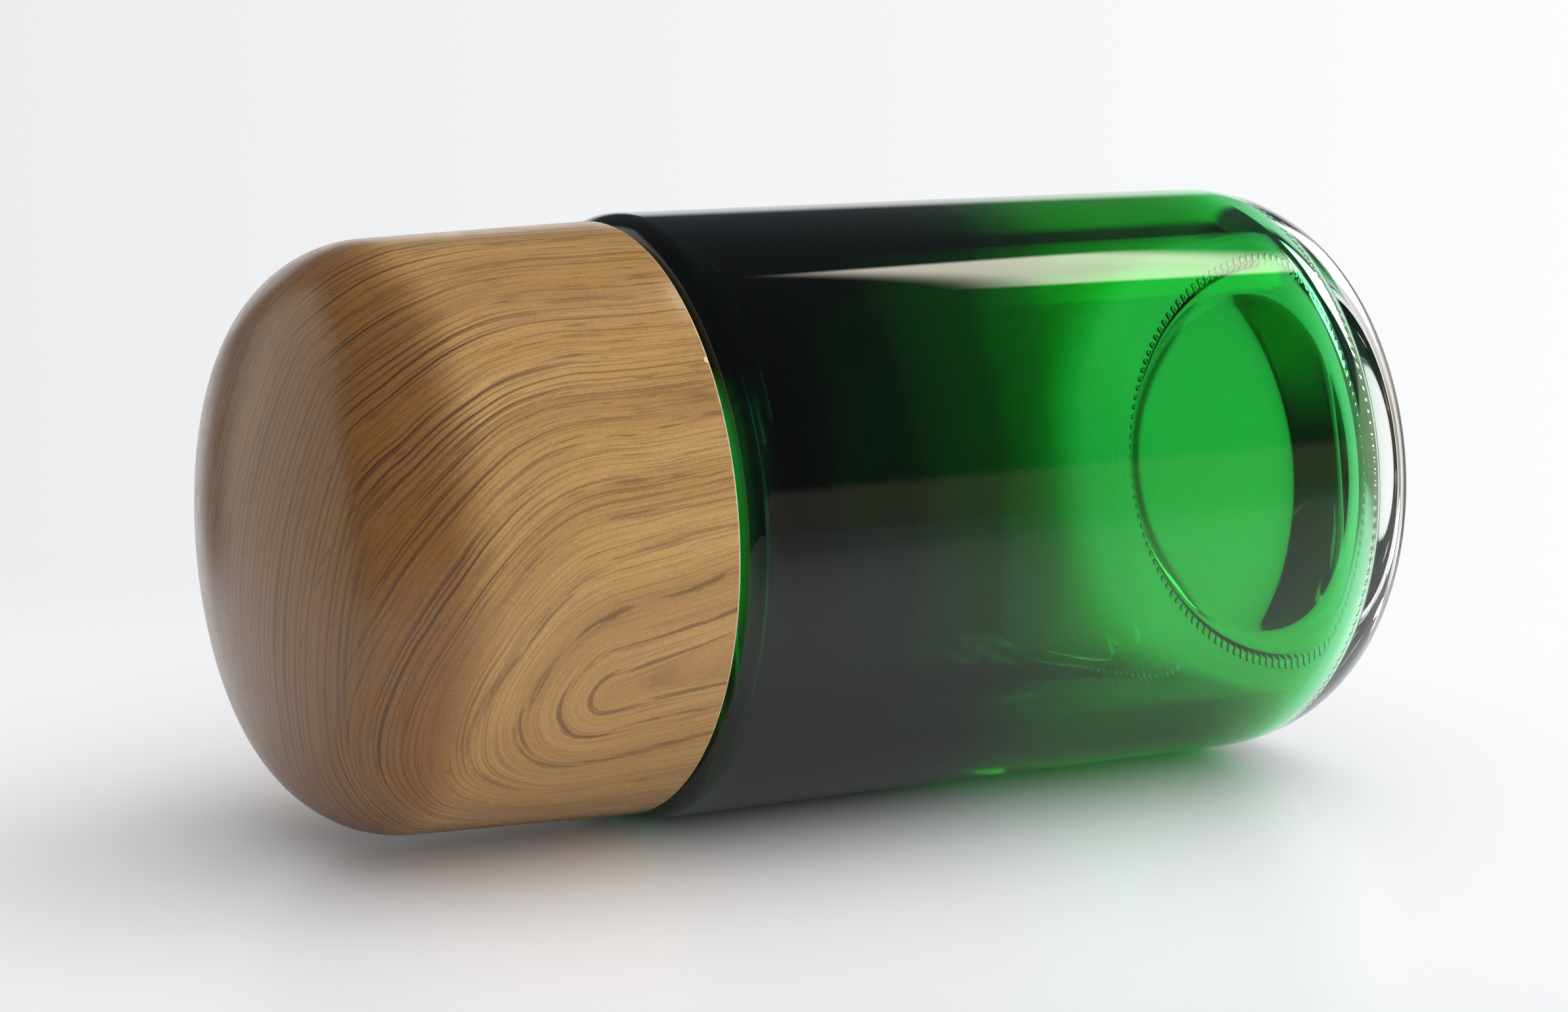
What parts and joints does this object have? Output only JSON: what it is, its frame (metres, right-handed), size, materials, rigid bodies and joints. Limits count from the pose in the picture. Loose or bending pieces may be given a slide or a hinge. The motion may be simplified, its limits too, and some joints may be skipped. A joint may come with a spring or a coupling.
{
  "type": "aftershave bottle",
  "caption": "Empty round splash bottle of thick green-lacquered glass with a domed wood-look screw cap, a pour reducer and a foam liner.",
  "frame": {"origin": "centre of the ring the bottle stands on", "axes": "+Z along the bottle's axis from the base to the crown of the cap; the bottle is round, so X and Y are free"},
  "size_m": [0.056, 0.056, 0.1103],
  "materials": {
    "green_glass": "clear glass with a transparent green lacquer, dark at the shoulder and bright at the base",
    "reducer_plastic": "natural polyethylene, satin",
    "liner_foam": "foamed polyethylene, matt",
    "insert_plastic": "white polypropylene, satin",
    "wood_print": "satin plastic with a printed wood grain"
  },
  "bodies": {
    "bottle": {"glass_bottle": "green_glass", "pour_reducer": "reducer_plastic"},
    "liner": {"cap_liner": "liner_foam"},
    "cap": {"cap_insert": "insert_plastic", "cap_shell": "wood_print"}
  },
  "joints": [
    {"name": "cap_lift", "type": "slide", "parent": "bottle", "child": "liner", "axis": [0, 0, 1], "range_m": [0, 0.01191]},
    {"name": "cap_turn", "type": "hinge", "parent": "liner", "child": "cap", "pos_m": [0, 0, 0.09], "axis": [0, 0, 1], "range_deg": [0, 1350]}
  ],
  "couplings": [
    {"joint": "cap_lift", "follows": "cap_turn", "m_per_rad": 0.00050532}
  ]
}
